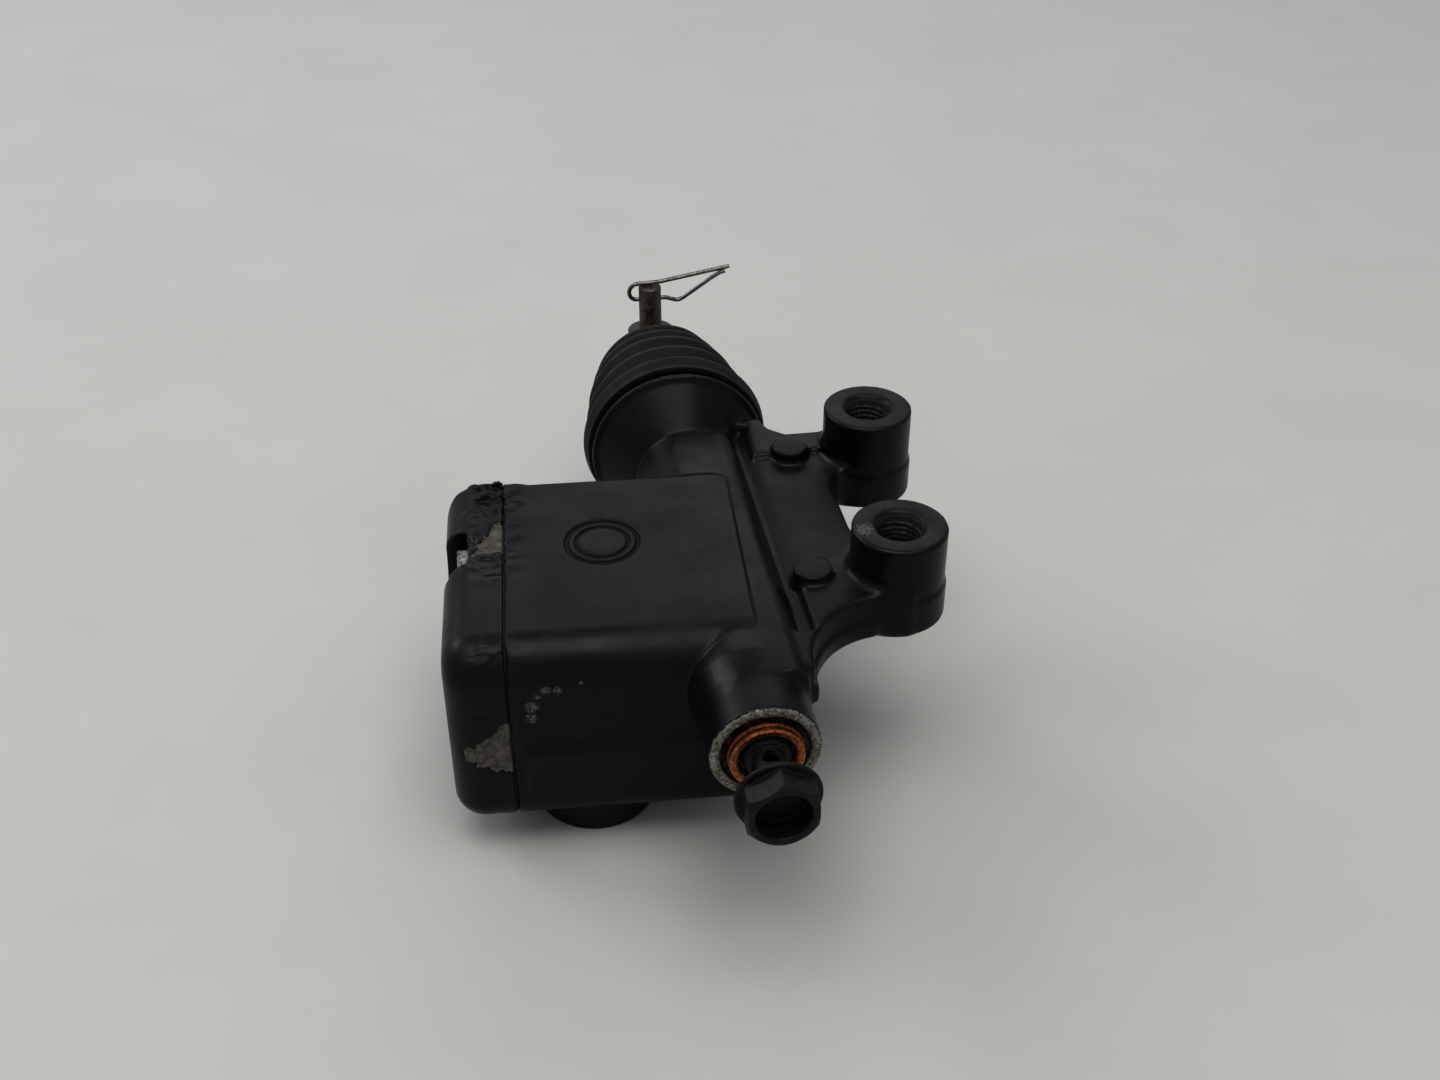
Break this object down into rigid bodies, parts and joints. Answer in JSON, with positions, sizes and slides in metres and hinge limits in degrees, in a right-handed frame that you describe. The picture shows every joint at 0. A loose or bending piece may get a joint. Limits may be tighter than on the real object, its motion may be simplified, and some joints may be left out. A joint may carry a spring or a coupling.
{
  "type": "rear brake master cylinder",
  "caption": "Rear brake master cylinder with a side reservoir, two threaded mounting bosses, a booted push rod with fork, and a banjo bolt at its outlet.",
  "frame": {"origin": "midway between the two mounting holes, on the top faces of the mounting bosses", "axes": "+Z along the mounting holes, out of the boss top faces; +Y along the bore, from the outlet port towards the push rod; +X from the reservoir side towards the mounting bosses"},
  "size_m": [0.1161, 0.1877, 0.0684],
  "materials": {
    "black_paint": "cast aluminium under satin black paint, chipped and worn",
    "zinc_plate": "dull zinc plate",
    "white_plastic": "matte",
    "rubber": "matte",
    "boot_rubber": "matte, greyed by dust",
    "sight_glass": "clear",
    "bright_steel": "satin",
    "anodised_aluminium": "satin",
    "spring_steel": "satin with light rust",
    "rusty_steel": "dark with brown rust",
    "black_steel": "blackened, white worn edges",
    "copper": "tarnished copper, crushed"
  },
  "bodies": {
    "cylinder": {"cylinder_body": "black_paint", "reservoir_cover": "black_paint", "cover_screws": "zinc_plate", "diaphragm_plate": "white_plastic", "diaphragm": "rubber", "sight_glass_lens": "sight_glass", "sight_glass_seal": "rubber", "sight_glass_ring": "bright_steel", "retaining_washer": "zinc_plate", "circlip": "spring_steel", "dust_boot": "boot_rubber", "inner_crush_washer": "copper", "outer_crush_washer": "copper", "return_spring": "spring_steel"},
    "piston": {"piston": "anodised_aluminium", "primary_cup": "rubber", "secondary_cup": "rubber", "spring_seat": "bright_steel"},
    "push_rod": {"push_rod": "zinc_plate", "lock_nut": "zinc_plate", "clevis": "rusty_steel"},
    "pin": {"clevis_pin": "rusty_steel", "hairpin_clip": "spring_steel"},
    "bolt": {"banjo_bolt": "black_steel"}
  },
  "joints": [
    {"name": "piston_slide", "type": "slide", "parent": "cylinder", "child": "piston", "axis": [0, -1, 0], "range_m": [0, 0.012], "stiffness_N_per_m": 1200, "springref_m": -0.012, "deforming": ["return_spring", "dust_boot"]},
    {"name": "rod_swing", "type": "hinge", "parent": "piston", "child": "push_rod", "pos_m": [-0.0405, 0.0236, -0.0204], "axis": [0, 0, 1], "range_deg": [-2.5, 2.5]},
    {"name": "pin_turn", "type": "hinge", "parent": "push_rod", "child": "pin", "pos_m": [-0.0405, 0.094, -0.0204], "axis": [0, 0, 1], "continuous": true},
    {"name": "bolt_slide", "type": "slide", "parent": "cylinder", "child": "bolt", "axis": [0, 1, 0], "range_m": [-0.006, 0.0095]}
  ]
}
